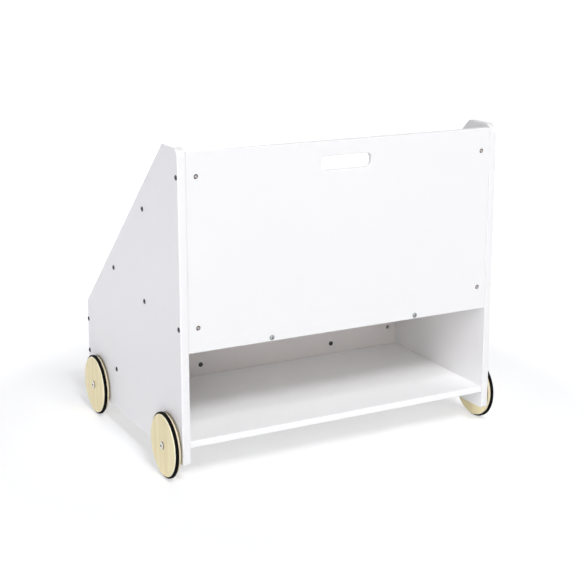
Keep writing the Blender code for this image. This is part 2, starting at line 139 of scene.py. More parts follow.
class BookcaseFinishes(bpy.types.PropertyGroup):
    """Colours of the paint, wood, rubber and metal, some of them with painted light and shade"""

    lacquer: colour_property("Lacquer", "White satin paint of the panels", (0.885, 0.876, 0.862))
    # Painted light: a whiter copy of the same lacquer on the floors inside the case, standing in for light
    # that the lamps leave short there.
    lit_floor_lacquer: colour_property(
        "Floor Lacquer", "Whiter coat of the floors inside the case", (0.965, 0.957, 0.945))
    # Painted light: a brighter, warmer copy of the same lacquer on the dividers inside the case, standing
    # in for light and warm bounce there.
    warm_lit_divider_lacquer: colour_property(
        "Divider Lacquer", "Warmer coat of the dividers inside the case", (0.955, 0.905, 0.872))
    birch: colour_property("Birch", "Face veneer of the wheels", (0.935, 0.828, 0.495))
    birch_grain: colour_property("Birch Grain", "Darker figure in the veneer", (0.855, 0.738, 0.425))
    # Painted highlight: a paler wood colour on the wheels' rounded rims.
    birch_rim_highlight: colour_property("Birch Lip", "Paler wood along a wheel's rounded rims", (0.98, 0.93, 0.68))
    birch_end: colour_property("Birch End", "End grain of the plies on a wheel's rim", (0.70, 0.53, 0.35))
    rubber: colour_property("Rubber", "Black rubber of the rings", (0.0016, 0.0016, 0.0016))
    rubber_dust: colour_property("Rubber Dust", "Paler bloom on the rubber", (0.006, 0.0058, 0.0055))
    axle_zinc: colour_property("Axle Zinc", "Bright zinc plate of the axle bolts", (0.88, 0.865, 0.83))
    # Painted shade and dark reflection: the axle bolts darken to this colour where their heads turn away
    # and in their sockets.
    axle_painted_shade: colour_property(
        "Axle Rim", "Axle bolts where their heads turn away and in their sockets", (0.15, 0.12, 0.08))
    seam_zinc: colour_property(
        "Seam Zinc", "Grey zinc plate of the bolts along the back panel's foot", (0.49, 0.505, 0.505))
    # Painted shade and dark reflection: the seam bolts darken to this colour where their heads turn away
    # and in their sockets.
    seam_painted_shade: colour_property(
        "Seam Rim", "Those bolts where their heads turn away and in their sockets", (0.12, 0.125, 0.125))
    nut_zinc: colour_property("Nut Zinc", "Yellowed zinc plate of the barrel nuts", (0.60, 0.555, 0.525))
    # Painted shade: the nuts' bevelled rim and slot darken to this colour, standing in for the shadow gap
    # in the bore.
    nut_painted_shade: colour_property(
        "Nut Rim", "Barrel nuts on their bevelled rim and in their slot", (0.105, 0.08, 0.072))
    # Painted shade: a darker copy of the zinc plate on the side bolts and most seam bolts, standing in for
    # the shade and dark reflections on these heads.
    painted_shade_zinc: colour_property("Dark Zinc", "Dark zinc plate of the other bolts", (0.095, 0.094, 0.092))
    # Painted shade and dark reflection where these heads turn away and in their sockets.
    dark_painted_shade: colour_property(
        "Dark Rim", "Dark bolts where their heads turn away and in their sockets", (0.045, 0.045, 0.045))


class BookcaseStudio(bpy.types.PropertyGroup):
    """Camera and light of the studio"""

    lens: FloatProperty(
        name="Lens", description="Focal length on a 36 mm sensor", default=79.635, unit="CAMERA")
    shift: FloatProperty(
        name="Shift", description="Upright shift of the lens", default=-0.1)
    place: FloatVectorProperty(
        name="Place", description="Where the camera stands", default=(1.1374, 2.2000, 0.9337),
        subtype="TRANSLATION", size=3)
    swing: FloatProperty(
        name="Swing", description="Angle of the view from the rear towards the right side",
        default=math.radians(27.716), unit="ROTATION")
    tilt: FloatProperty(
        name="Tilt", description="Angle that the camera looks down",
        default=math.radians(12.785), unit="ROTATION")
    sky: FloatProperty(
        name="Sky", description="Strength of the light from all round", default=0.035)
    floor_glow: FloatProperty(
        name="Floor Glow", description="Share of the floor's white that the shadow leaves",
        default=0.525, subtype="FACTOR")
    floor_shade: FloatProperty(
        name="Floor Shade", description="Share of the floor's white that the shadow takes",
        default=0.575, subtype="FACTOR")
    floor_near: length_property(
        "Floor Near", "Distance from the middle out to which the floor keeps shadows", 0.6)
    floor_far: length_property(
        "Floor Far", "Distance from the middle beyond which the floor is plain white", 1.1)
    floor_bounce: FloatProperty(
        name="Floor Bounce", description="Paleness of the floor as it lights the object",
        default=0.95, subtype="FACTOR")


# Modelling

def free_selection():
    """Deselect everything, so that the next tool acts on the new piece alone."""
    bpy.ops.object.select_all(action="DESELECT")


def work_on(piece):
    """Make a piece the only selected and active one."""
    free_selection()
    piece.select_set(True)
    bpy.context.view_layer.objects.active = piece


def finished(result, what):
    """Stop the script where a modelling tool did nothing."""
    if result != {"FINISHED"}:
        raise RuntimeError(f"{what} did not finish")


def near(first, second):
    """True where two measures agree."""
    return abs(first - second) < TOUCH


def take_new(name):
    """Name the piece that was just added, put its place, turn and size into its mesh, and return it."""
    piece = bpy.context.active_object
    piece.name = name
    piece.data.name = name
    bpy.ops.object.transform_apply(location=True, rotation=True, scale=True)
    return piece


def drop(piece):
    """Remove a piece that is used up."""
    mesh = piece.data
    bpy.data.objects.remove(piece)
    bpy.data.meshes.remove(mesh)


def start_block(name, low, high):
    """Add a block between two corners, as the start of a board or a cutter."""
    free_selection()
    bpy.ops.mesh.primitive_cube_add(size=1.0, location=(low + high) / 2, scale=high - low)
    return take_new(name)


def start_rod(name, middle, axis, radius, length, sides):
    """Add a rod along an axis, as the start of a cutter."""
    free_selection()
    bpy.ops.mesh.primitive_cylinder_add(
        vertices=sides, radius=radius, depth=length, location=middle, rotation=ROD_TURNS[axis])
    return take_new(name)


def round_edges(piece, width, wanted, segments):
    """Bevel the edges of a piece whose two ends pass a test."""
    work_on(piece)
    bpy.ops.object.mode_set(mode="EDIT")
    bpy.ops.mesh.select_mode(type="EDGE")
    bpy.ops.mesh.select_all(action="DESELECT")
    mesh = bmesh.from_edit_mesh(piece.data)
    for edge in mesh.edges:
        edge.select_set(wanted(edge.verts[0].co, edge.verts[1].co))
    bmesh.update_edit_mesh(piece.data)
    finished(bpy.ops.mesh.bevel(offset=width, segments=segments, profile=0.5, affect="EDGES"), "bevel")
    bpy.ops.object.mode_set(mode="OBJECT")


def apply_modifier(piece, kind, **settings):
    """Add a modifier to a piece with its settings, and apply it."""
    work_on(piece)
    modifier = piece.modifiers.new(kind.lower(), kind)
    for name, value in settings.items():
        setattr(modifier, name, value)
    finished(bpy.ops.object.modifier_apply(modifier=modifier.name), kind)


def cut(piece, cutter):
    """Cut a piece with another one, which is used up."""
    apply_modifier(piece, "BOOLEAN", operation="DIFFERENCE", solver="EXACT", object=cutter)
    drop(cutter)


def turn_profile(name, profile, steps):
    """Turn a profile of (along, radius) points round the X axis, as on a lathe."""
    free_selection()
    bpy.ops.mesh.primitive_plane_add(size=TOUCH, location=(profile[0][0], 0, profile[0][1]))
    piece = take_new(name)
    bpy.ops.object.mode_set(mode="EDIT")
    bpy.ops.mesh.select_mode(type="VERT")
    bpy.ops.mesh.select_all(action="SELECT")
    bpy.ops.mesh.merge(type="CENTER")
    for (along, radius), (next_along, next_radius) in zip(profile, profile[1:]):
        step = (next_along - along, 0, next_radius - radius)
        bpy.ops.mesh.extrude_vertices_move(TRANSFORM_OT_translate={"value": step})
    bpy.ops.mesh.select_all(action="SELECT")
    finished(bpy.ops.mesh.spin(steps=steps, angle=math.tau, center=(0, 0, 0), axis=(1, 0, 0)), "spin")
    bpy.ops.mesh.select_all(action="SELECT")
    bpy.ops.mesh.remove_doubles(threshold=MERGE)
    bpy.ops.mesh.normals_make_consistent(inside=False)
    bpy.ops.object.mode_set(mode="OBJECT")
    return piece


def ring_at(*rings):
    """A test for the edges of a turned piece that run round at the given (along, radius) points."""
    def wanted(start, end):
        for along, radius in rings:
            on_ring = [near(p.x, along) and near(math.hypot(p.y, p.z), radius) for p in (start, end)]
            if all(on_ring):
                return True
        return False
    return wanted


def dome(radius, height, land, steps):
    """Profile points of a domed head from its top to the foot of its upright rim."""
    rise = height - land
    ball = (radius * radius + rise * rise) / (2 * rise)
    widest = math.asin(radius / ball)
    angles = [widest * step / steps for step in range(steps + 1)]
    points = [(ball - ball * math.cos(angle), ball * math.sin(angle)) for angle in angles]
    return points + [(height, radius)]


def smooth(piece):
    """Shade a piece smooth over its roundings and level over its flats."""
    work_on(piece)
    bpy.ops.object.shade_smooth_by_angle(angle=SMOOTH_ANGLE)
    apply_modifier(piece, "WEIGHTED_NORMAL", keep_sharp=True)


def place_copy(master, name, place, turn):
    """Copy a modelled piece with its own mesh, turn it about the upright axis and put it in place."""
    work_on(master)
    bpy.ops.object.duplicate(linked=False)
    copy = bpy.context.active_object
    copy.location = place
    copy.rotation_euler = (0, 0, turn)
    return take_new(name)


def dress(piece, body, slot, material, *nodes):
    """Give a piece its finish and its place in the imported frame."""
    piece.data.materials.clear()
    piece.data.materials.append(material)
    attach(piece, body)
    if nodes:
        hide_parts(*nodes)


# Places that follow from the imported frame

def side_bolts():
    """Bolts through the side panels by node, with the way that each head faces along X."""
    ways = {}
    for board in CROSS_BOARDS:
        for side, way in SIDES.items():
            for level in LEVELS:
                ways[f"{board}_bolt_{side}_{level}"] = way
    for side, way in SIDES.items():
        ways[f"shelf_bolt_{side}"] = way
    return ways


def seam_bolts():
    """Bolts along the seams between boards by node, with the way that each head faces along Y."""
    return {f"{seam}_bolt_{side}": way for seam, way in SEAMS.items() for side in SIDES}


def middle_of(node):
    """The middle of a node's box."""
    low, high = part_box(node)
    return (low + high) / 2


def outer_end(node, axis, way):
    """The middle of the face of a node's box that looks one way along an axis."""
    low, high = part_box(node)
    point = (low + high) / 2
    point[axis] = high[axis] if way > 0 else low[axis]
    return point


def nut_places():
    """Barrel nuts by name: the middle of the outer face, and the node that each one stands for."""
    panel_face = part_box("back_panel")[1].y
    places = {}
    for board in CROSS_BOARDS:
        board_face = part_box(board)[1].y
        for side in SIDES:
            for level in LEVELS:
                nut = f"barrel_nut_{side}_{level}"
                mouth = middle_of(nut)
                mouth.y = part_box(nut)[1].y - panel_face + board_face
                mouth.z = middle_of(f"{board}_bolt_{side}_{level}").z
                node = nut if board == "back_panel" else None
                places[f"{board}_nut_{side}_{level}"] = (mouth, node)
    return places


def wheel_places():
    """Wheels by end and side: the axle's point on the outer face, and the turn that faces it outwards."""
    places = {}
    for end in ENDS:
        for side, way in SIDES.items():
            places[end, side] = (outer_end(f"wheel_{end}_{side}", X, way), FACING[X, way])
    return places


def bores(sizes):
    """The middle, axis, radius and length of every bore that a bolt, nut or axle needs."""
    found = []
    bolts = [(node, sizes.bolt_radius) for node in (*side_bolts(), *seam_bolts())]
    axles = [(f"axle_bolt_{end}_{side}", sizes.axle_radius) for end in ENDS for side in SIDES]
    for node, radius in bolts + axles:
        low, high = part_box(node)
        size = list(high - low)
        axis = size.index(max(size))
        found.append(((low + high) / 2, axis, radius + sizes.bore_gap, size[axis] + 2 * sizes.bore_gap))
    low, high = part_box("barrel_nut_left_upper")
    radius = (high.x - low.x) / 2 + sizes.bore_gap
    # A nut's bore is centred on its mouth, so half of its length lies outside the board.
    length = (high.y - low.y) * 2 + 2 * sizes.bore_gap
    found.extend((mouth, Y, radius, length) for mouth, _ in nut_places().values())
    return found


def drill(piece, node, sizes):
    """Bore a board wherever a bolt, nut or axle passes into it."""
    low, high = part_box(node)
    for middle, axis, radius, length in bores(sizes):
        reach = [radius, radius, radius]
        reach[axis] = length / 2
        apart = [middle[i] + reach[i] < low[i] or middle[i] - reach[i] > high[i] for i in range(3)]
        if not any(apart):
            cut(piece, start_rod("bore", middle, axis, radius, length, sizes.metal_steps // 2))


# Finishes

def add_node(tree, kind, inputs=None, **settings):
    """Add a shader node with its settings, and set or link its inputs."""
    made = tree.nodes.new(kind)
    for name, value in settings.items():
        setattr(made, name, value)
    for name, value in (inputs or {}).items():
        if isinstance(value, bpy.types.NodeSocket):
            tree.links.new(value, made.inputs[name])
        else:
            made.inputs[name].default_value = value
    return made


def math_node(tree, operation, first, second=0.0):
    """The result of a Math node."""
    return add_node(tree, "ShaderNodeMath", {0: first, 1: second}, operation=operation).outputs[0]


def range_node(tree, value, span=(0.0, 1.0), to=(0.0, 1.0)):
    """A value of one span brought to another, and held within it."""
    inputs = {"Value": value, "From Min": span[0], "From Max": span[1], "To Min": to[0], "To Max": to[1]}
    return add_node(tree, "ShaderNodeMapRange", inputs).outputs["Result"]


def rgba(colour):
    """A colour as a node takes it: with its alpha, or as it is where another node makes it."""
    if isinstance(colour, bpy.types.NodeSocket):
        return colour
    return (*colour, 1.0)


def mix_node(tree, factor, first, second):
    """The colour between two colours."""
    inputs = {MIX_FACTOR: factor, MIX_COLOURS[0]: rgba(first), MIX_COLOURS[1]: rgba(second)}
    return add_node(tree, "ShaderNodeMix", inputs, data_type="RGBA").outputs[MIX_COLOUR_RESULT]


def new_group(name, result):
    """A node group that makes one value from coordinates and a scale, with its end nodes' sockets."""
    group = bpy.data.node_groups.new(name, "ShaderNodeTree")
    group.interface.new_socket("Coordinates", in_out="INPUT", socket_type="NodeSocketVector")
    group.interface.new_socket("Scale", in_out="INPUT", socket_type="NodeSocketFloat")
    group.interface.new_socket(result, in_out="OUTPUT", socket_type="NodeSocketFloat")
    return group, group.nodes.new("NodeGroupInput").outputs, group.nodes.new("NodeGroupOutput").inputs


def mottle_group():
    """Cloudy change over a surface, from 0 to 1, at one scale."""
    group = bpy.data.node_groups.get("surface_mottle")
    if group:
        return group
    group, given, result = new_group("surface_mottle", "Value")
    noise = add_node(group, "ShaderNodeTexNoise", {
        "Vector": given["Coordinates"], "Scale": given["Scale"], "Detail": 4.0, "Roughness": 0.55})
    group.links.new(range_node(group, noise.outputs["Fac"], span=(0.3, 0.7)), result["Value"])
    return group


def edge_group():
    """Mask of the rounded edges, where paint, rubber and plating change first."""
    group = bpy.data.node_groups.get("rounded_edges")
    if group:
        return group
    group, given, result = new_group("rounded_edges", "Mask")
    pointed = add_node(group, "ShaderNodeNewGeometry").outputs["Pointiness"]
    edge = range_node(group, pointed, span=(0.5, 0.6))
    noise = add_node(group, "ShaderNodeTexNoise", {
        "Vector": given["Coordinates"], "Scale": given["Scale"], "Detail": 3.0})
    broken = range_node(group, noise.outputs["Fac"], span=(0.35, 0.65), to=(0.3, 1.0))
    group.links.new(math_node(group, "MULTIPLY", edge, broken), result["Mask"])
    return group


def use_group(tree, group, coordinates, scale):
    """The result of a node group placed in a material at its own scale."""
    placed = add_node(tree, "ShaderNodeGroup", node_tree=group)
    tree.links.new(coordinates, placed.inputs["Coordinates"])
    placed.inputs["Scale"].default_value = scale
    return placed.outputs[0]


def mottle(tree, where, scale):
    """The cloudy change over one material."""
    return use_group(tree, mottle_group(), where, scale)


def edge_mask(tree, where, scale):
    """The mask of one material's rounded edges."""
    return use_group(tree, edge_group(), where, scale)


def new_finish(name):
    """A material with its shader, and the coordinates that its patterns follow."""
    material = bpy.data.materials.new(name)
    material.use_nodes = True
    tree = material.node_tree
    return material, tree, tree.nodes["Principled BSDF"], add_node(tree, "ShaderNodeTexCoord").outputs


def set_bump(tree, shader, height, strength, distance):
    """Raise a surface by a height pattern."""
    bump = add_node(tree, "ShaderNodeBump", {"Height": height, "Strength": strength, "Distance": distance})
    tree.links.new(bump.outputs["Normal"], shader.inputs["Normal"])


def lacquer_finish(name, coat):
    """White satin paint: faintly cloudy, with orange peel and glossier edges."""
    material, tree, shader, coordinates = new_finish(name)
    where = coordinates["Object"]
    cloud_shade = 0.984
    edge_gloss = -0.05
    edges = edge_mask(tree, where, scale=90.0)
    paint = mix_node(tree, mottle(tree, where, scale=2.6), coat, cloud_shade * Vector(coat))
    tree.links.new(mix_node(tree, edges, paint, coat), shader.inputs["Base Color"])
    satin = range_node(tree, mottle(tree, where, scale=38.0), to=(0.36, 0.44))
    worn = math_node(tree, "MULTIPLY", edges, edge_gloss)
    tree.links.new(math_node(tree, "ADD", satin, worn), shader.inputs["Roughness"])
    set_bump(tree, shader, mottle(tree, where, scale=480.0), strength=0.05, distance=0.0003)
    return material


def birch_finish(name, colours, lip):
    """Clear lacquered birch plywood: upright figure on the faces, plies on the rim."""
    material, tree, shader, coordinates = new_finish(name)
    where = coordinates["Object"]
    upright = add_node(tree, "ShaderNodeMapping", {"Vector": where, "Scale": (1.0, 1.0, 0.07)}).outputs[0]
    pore_share = 0.25
    pores = mottle(tree, upright, scale=520.0)
    streaks = range_node(tree, mottle(tree, upright, scale=62.0), span=(0.3, 0.7))
    streaks = math_node(tree, "MULTIPLY", streaks, 1.0 - pore_share)
    grain = math_node(tree, "ADD", streaks, math_node(tree, "MULTIPLY", pores, pore_share))
    veneer = mix_node(tree, grain, colours.birch, colours.birch_grain)
    facing = add_node(tree, "ShaderNodeSeparateXYZ", {0: coordinates["Normal"]}).outputs
    # Painted highlight: where the normal turns away from the faces, on the rounded rims, the veneer pales
    # to the highlight colour.
    turned = range_node(tree, math_node(tree, "ABSOLUTE", facing["X"]), span=(0.95, 0.6))
    veneer = mix_node(tree, turned, veneer, colours.birch_rim_highlight)

    # The plies on the rim run upright and level by turns, and show end grain where they are cut across.
    plies = 9
    margin = 0.001
    inner, outer = [corner.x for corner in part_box("wheel_rear_right")]
    place = add_node(tree, "ShaderNodeSeparateXYZ", {0: where}).outputs
    away = math_node(tree, "ABSOLUTE", place["X"])
    depth = range_node(tree, away, span=(inner, outer), to=(margin, plies - margin))
    odd = math_node(tree, "MODULO", math_node(tree, "FLOOR", depth), 2.0)
    upright_end = math_node(tree, "ABSOLUTE", facing["Z"])
    level_end = math_node(tree, "ABSOLUTE", facing["Y"])
    ends = {MIX_FACTOR: odd, MIX_NUMBERS[0]: upright_end, MIX_NUMBERS[1]: level_end}
    end_grain = add_node(tree, "ShaderNodeMix", ends).outputs[0]
    end_grain = range_node(tree, end_grain, span=(0.3, 0.9), to=(0.0, 0.85))
    # In front of the ring the face ply shows no end grain, so the rim there keeps the veneer with its
    # painted highlight.
    behind_lip = math_node(tree, "LESS_THAN", away, outer - lip)
    end_grain = math_node(tree, "MULTIPLY", end_grain, behind_lip)
    tree.links.new(mix_node(tree, end_grain, veneer, colours.birch_end), shader.inputs["Base Color"])
    tree.links.new(range_node(tree, grain, to=(0.38, 0.5)), shader.inputs["Roughness"])
    set_bump(tree, shader, pores, strength=0.1, distance=0.0002)
    return material


def rubber_finish(name, colours):
    """Matt black rubber with a pale bloom."""
    material, tree, shader, coordinates = new_finish(name)
    where = coordinates["Object"]
    bloom_share = 0.5
    bloom = mottle(tree, where, scale=60.0)
    dusty = math_node(tree, "MAXIMUM", bloom, edge_mask(tree, where, scale=200.0))
    dust = math_node(tree, "MULTIPLY", dusty, bloom_share)
    tree.links.new(mix_node(tree, dust, colours.rubber, colours.rubber_dust), shader.inputs["Base Color"])
    tree.links.new(range_node(tree, bloom, to=(0.6, 0.78)), shader.inputs["Roughness"])
    shader.inputs["Specular IOR Level"].default_value = 0.05
    set_bump(tree, shader, mottle(tree, where, scale=900.0), strength=0.15, distance=0.0002)
    return material


def zinc_finish(name, axis, colour, rim):
    """Zinc plate on bolts along one axis: fine grey patches, with painted shade and dark reflection towards
    the rim and in the socket.
    """
    material, tree, shader, coordinates = new_finish(name)
    where = coordinates["Object"]
    patch_shade = 0.75
    patches = mottle(tree, where, scale=350.0)
    plate = mix_node(tree, patches, colour, patch_shade * Vector(colour))
    plate = mix_node(tree, edge_mask(tree, where, scale=600.0), plate, colour)
    facing = add_node(tree, "ShaderNodeSeparateXYZ", {0: coordinates["Normal"]}).outputs
    # Painted shade and dark reflection: where the normal turns away from the bolt's axis, on the head's rim
    # and in the socket or slot, the plate darkens to the rim colour.
    turned = range_node(tree, math_node(tree, "ABSOLUTE", facing[axis]), span=(0.96, 0.76))
    tree.links.new(mix_node(tree, turned, plate, rim), shader.inputs["Base Color"])
    shader.inputs["Metallic"].default_value = 1.0
    tree.links.new(range_node(tree, patches, to=(0.24, 0.38)), shader.inputs["Roughness"])
    set_bump(tree, shader, mottle(tree, where, scale=1600.0), strength=0.08, distance=0.0001)
    return material


def finish_of(context, name):
    """The material of one finish, made the first time that a piece asks for it."""
    known = bpy.data.materials.get(name)
    if known:
        return known
    colours = context.scene.bookcase_finishes
    recipes = {
        "white_lacquer": (lacquer_finish, colours.lacquer),
        # Painted light: the floor coat is a whiter copy of the lacquer.
        "lit_floor_lacquer": (lacquer_finish, colours.lit_floor_lacquer),
        # Painted light: the divider coat is a brighter, warmer copy of the lacquer.
        "warm_lit_divider_lacquer": (lacquer_finish, colours.warm_lit_divider_lacquer),
        "birch_veneer": (birch_finish, colours, context.scene.bookcase_sizes.disc_lip),
        "black_rubber": (rubber_finish, colours),
        # The rim colours paint shade and dark reflection onto the metal.
        "axle_zinc": (zinc_finish, "X", colours.axle_zinc, colours.axle_painted_shade),
        "seam_zinc": (zinc_finish, "Y", colours.seam_zinc, colours.seam_painted_shade),
        "nut_zinc": (zinc_finish, "Y", colours.nut_zinc, colours.nut_painted_shade),
        # The dark plate is a copy of the zinc with painted shade.
        "side_painted_shade_zinc": (zinc_finish, "X", colours.painted_shade_zinc, colours.dark_painted_shade),
        "seam_painted_shade_zinc": (zinc_finish, "Y", colours.painted_shade_zinc, colours.dark_painted_shade),
    }
    make, *values = recipes[name]
    return make(name, *values)


# Pieces

class BOOKCASE_OT_side_panels(bpy.types.Operator):
    """Model the two side panels with their sloping front and soft rim"""

    bl_idname = "bookcase.side_panels"
    bl_label = "Side Panels"

    def execute(self, context):
        sizes = context.scene.bookcase_sizes
        for side, way in SIDES.items():
            node = f"side_panel_{side}"
            panel = self.shape(node, way, sizes)
            drill(panel, node, sizes)
            smooth(panel)
            dress(panel, "case", "lacquer", finish_of(context, "white_lacquer"), node)
        return {"FINISHED"}

    def shape(self, node, way, sizes):
        """A board with its front cut to the slope, its corners rounded and its rim eased."""
        low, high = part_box(node)
        panel = start_block(f"{node}_board", low, high)
        crest = Vector((0, high.y - sizes.top_depth, high.z))
        foot = Vector((0, low.y, sizes.slope_foot))
        run = crest - foot
        self.cut_slope(crest, run)
        slope = math.atan2(run.z, run.y)
        # Corners by y and z, with the width and the segments of their rounding.
        corners = [
            (high.y, high.z, sizes.rear_corner, 10),
            (high.y, low.z, sizes.corner, 6),
            (low.y, low.z, sizes.corner, 6),
            (crest.y, crest.z, sizes.corner * math.tan(slope / 2), 4),
            (foot.y, foot.z, sizes.corner * math.tan((math.pi / 2 - slope) / 2), 4),
        ]
        for y, z, width, segments in corners:
            def at_corner(start, end):
                return all(near(p.y, y) and near(p.z, z) for p in (start, end))
            round_edges(panel, width, at_corner, segments)

        outer, inner = (high.x, low.x) if way > 0 else (low.x, high.x)
        for face, width, segments in ((outer, sizes.side_edge, 5), (inner, sizes.side_edge_inner, 3)):
            def on_rim(start, end):
                return near(start.x, face) and near(end.x, face)
            round_edges(panel, width, on_rim, segments)
        return panel

    def cut_slope(self, crest, run):
        """Cut the board that is being worked on along its slope, and close it there."""
        # Square to the slope, towards the front and up.
        out = Vector((0, -run.z, run.y)).normalized()
        bpy.ops.object.mode_set(mode="EDIT")
        bpy.ops.mesh.select_all(action="SELECT")
        finished(bpy.ops.mesh.bisect(
            plane_co=crest, plane_no=out, use_fill=True, clear_outer=True), "bisect")
        bpy.ops.object.mode_set(mode="OBJECT")


def shape_board(node, sizes, slot=None):
    """A board with rounded long edges and eased ends, and with a slot if one is given."""
    low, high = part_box(node)
    board = start_block(f"{node}_board", low, high)
    if slot:
        cut(board, slot)

    def along_edge(start, end):
        runs_across = abs(start.x - end.x) > (high.x - low.x) / 2
        in_slot = all(low.x < p.x < high.x for p in (start, end)) and near(start.y, end.y)
        return runs_across or in_slot
    round_edges(board, sizes.board_edge, along_edge, segments=4)

    def at_end(start, end):
        return near(start.x, end.x) and (near(start.x, low.x) or near(start.x, high.x))
    round_edges(board, sizes.board_end, at_end, segments=2)
    return board


class BOOKCASE_OT_cross_boards(bpy.types.Operator):
    """Model the back panel with its grip slot, the two dividers and the front panel"""

    bl_idname = "bookcase.cross_boards"
    bl_label = "Cross Boards"

    def execute(self, context):
        sizes = context.scene.bookcase_sizes
        for node in CROSS_BOARDS:
            slot = self.grip_cutter(sizes) if node == "back_panel" else None
            board = shape_board(node, sizes, slot)
            drill(board, node, sizes)
            smooth(board)
            # The dividers take the brighter, warmer copy of the lacquer, which paints light and warm bounce
            # onto them.
            coat = "warm_lit_divider_lacquer" if "divider" in node else "white_lacquer"
            dress(board, "case", "lacquer", finish_of(context, coat), node)
        return {"FINISHED"}

    def grip_cutter(self, sizes):
        """A block with rounded corners that cuts the grip slot."""
        low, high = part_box("back_panel")
        half = sizes.grip_width / 2
        top = high.z - sizes.grip_drop
        thick = high.y - low.y
        first = Vector((-half, low.y - thick, top - sizes.grip_height))
        second = Vector((half, high.y + thick, top))
        block = start_block("grip_cutter", first, second)
        round_edges(block, sizes.grip_corner, lambda start, end: abs(start.y - end.y) > thick, segments=8)
        return block


class BOOKCASE_OT_level_boards(bpy.types.Operator):
    """Model the upper floor, the bottom shelf and the pocket floor"""

    bl_idname = "bookcase.level_boards"
    bl_label = "Level Boards"

    def execute(self, context):
        sizes = context.scene.bookcase_sizes
        for node in LEVEL_BOARDS:
            board = shape_board(node, sizes)
            drill(board, node, sizes)
            smooth(board)
            # The floors take the whiter copy of the lacquer, which paints light onto them.
            dress(board, "case", "lacquer", finish_of(context, "lit_floor_lacquer"), node)
        return {"FINISHED"}


def shape_bolt(name, head, shank, socket, steps):
    """A domed bolt along +X with its head's top at the origin and a six-sided socket in it.

    The head has a radius, a height and a land, the shank a radius and an end, and the socket its
    width across flats and its depth.
    """
    head_radius, head_height, land = head
    shank_radius, end = shank
    flats, depth = socket
    # The tip is chamfered by a third of the shank's radius, and the rim rounded by a quarter of the land.
    tip = shank_radius / 3
    profile = dome(head_radius, head_height, land, steps=7)
    profile += [(head_height, shank_radius), (end - tip, shank_radius)]
    profile += [(end, shank_radius - tip), (end, 0.0)]
    bolt = turn_profile(name, profile, steps)
    rim = ring_at((head_height - land, head_radius), (head_height, head_radius))
    round_edges(bolt, land / 4, rim, segments=2)
    hexagon = start_rod("socket", Vector((0, 0, 0)), X, flats / math.sqrt(3), depth * 2, sides=6)
    # Half a step of turn keeps the socket's corners off the head's edges.
    hexagon.rotation_euler.x = math.pi / steps
    bpy.ops.object.transform_apply(location=False, rotation=True, scale=False)
    cut(bolt, hexagon)
    return bolt


class BOOKCASE_OT_connector_bolts(bpy.types.Operator):
    """Model a connector bolt for the sides and one for the seams, and copy each to its places"""

    bl_idname = "bookcase.connector_bolts"
    bl_label = "Connector Bolts"

    def execute(self, context):
        sizes = context.scene.bookcase_sizes
        low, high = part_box("shelf_bolt_left")
        head_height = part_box("side_panel_left")[0].x - low.x
        head = ((high.y - low.y) / 2, head_height, sizes.bolt_land)
        self.spread(context, side_bolts(), X, head, high.x - low.x)
        low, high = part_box("back_floor_bolt_left")
        self.spread(context, seam_bolts(), Y, head, high.y - low.y)
        return {"FINISHED"}

    def spread(self, context, ways, axis, head, length):
        """Model one bolt and put a copy at each node of a row along one axis."""
        sizes = context.scene.bookcase_sizes
        shank = (sizes.bolt_radius, length)
        socket = (sizes.bolt_flats, sizes.bolt_socket)
        master = shape_bolt("bolt_master", head, shank, socket, sizes.metal_steps)
        smooth(master)
        for node, way in ways.items():
            bolt = place_copy(master, f"{node}_domed", outer_end(node, axis, way), FACING[axis, way])
            dress(bolt, "case", "zinc_steel", finish_of(context, self.plate(node, axis)), node)
        drop(master)

    def plate(self, node, axis):
        """The finish of a bolt: grey along the back panel's foot, and elsewhere a darker copy with painted
        shade.
        """
        if axis == X:
            return "side_painted_shade_zinc"
        return "seam_zinc" if node.startswith("back_floor") else "seam_painted_shade_zinc"


class BOOKCASE_OT_barrel_nuts(bpy.types.Operator):
    """Model a slotted barrel nut and copy it to every cross board"""

    bl_idname = "bookcase.barrel_nuts"
    bl_label = "Barrel Nuts"

    def execute(self, context):
        master = self.shape(context.scene.bookcase_sizes)
        smooth(master)
        for name, (mouth, node) in nut_places().items():
            nut = place_copy(master, name, mouth, FACING[Y, 1])
            nodes = [node] if node else []
            dress(nut, "case", "zinc_steel", finish_of(context, "nut_zinc"), *nodes)
        drop(master)
        return {"FINISHED"}

    def shape(self, sizes):
        """A barrel along +X with its outer face at the origin, a driver slot and a hole for the bolt."""
        low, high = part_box("barrel_nut_left_upper")
        radius = (high.x - low.x) / 2
        length = high.y - low.y
        profile = [(0, 0), (0, radius), (length, radius), (length, 0)]
        barrel = turn_profile("nut_master", profile, sizes.metal_steps)
        round_edges(barrel, sizes.fine_edge, ring_at((length, radius)), segments=2)
        round_edges(barrel, sizes.nut_chamfer, ring_at((0, radius)), segments=1)
        half = sizes.nut_slot_width / 2
        slot_low = Vector((-length, -2 * radius, -half))
        slot_high = Vector((sizes.nut_slot_depth, 2 * radius, half))
        cut(barrel, start_block("nut_slot", slot_low, slot_high))
        cross = Vector((high.y - middle_of("back_panel").y, 0, 0))
        # An odd number of side pairs keeps the hole's corners off the barrel's edges.
        sides = sizes.metal_steps // 2 + 2
        hole = sizes.bolt_radius + sizes.bore_gap
        cut(barrel, start_rod("cross_hole", cross, Y, hole, 4 * radius, sides))
        return barrel


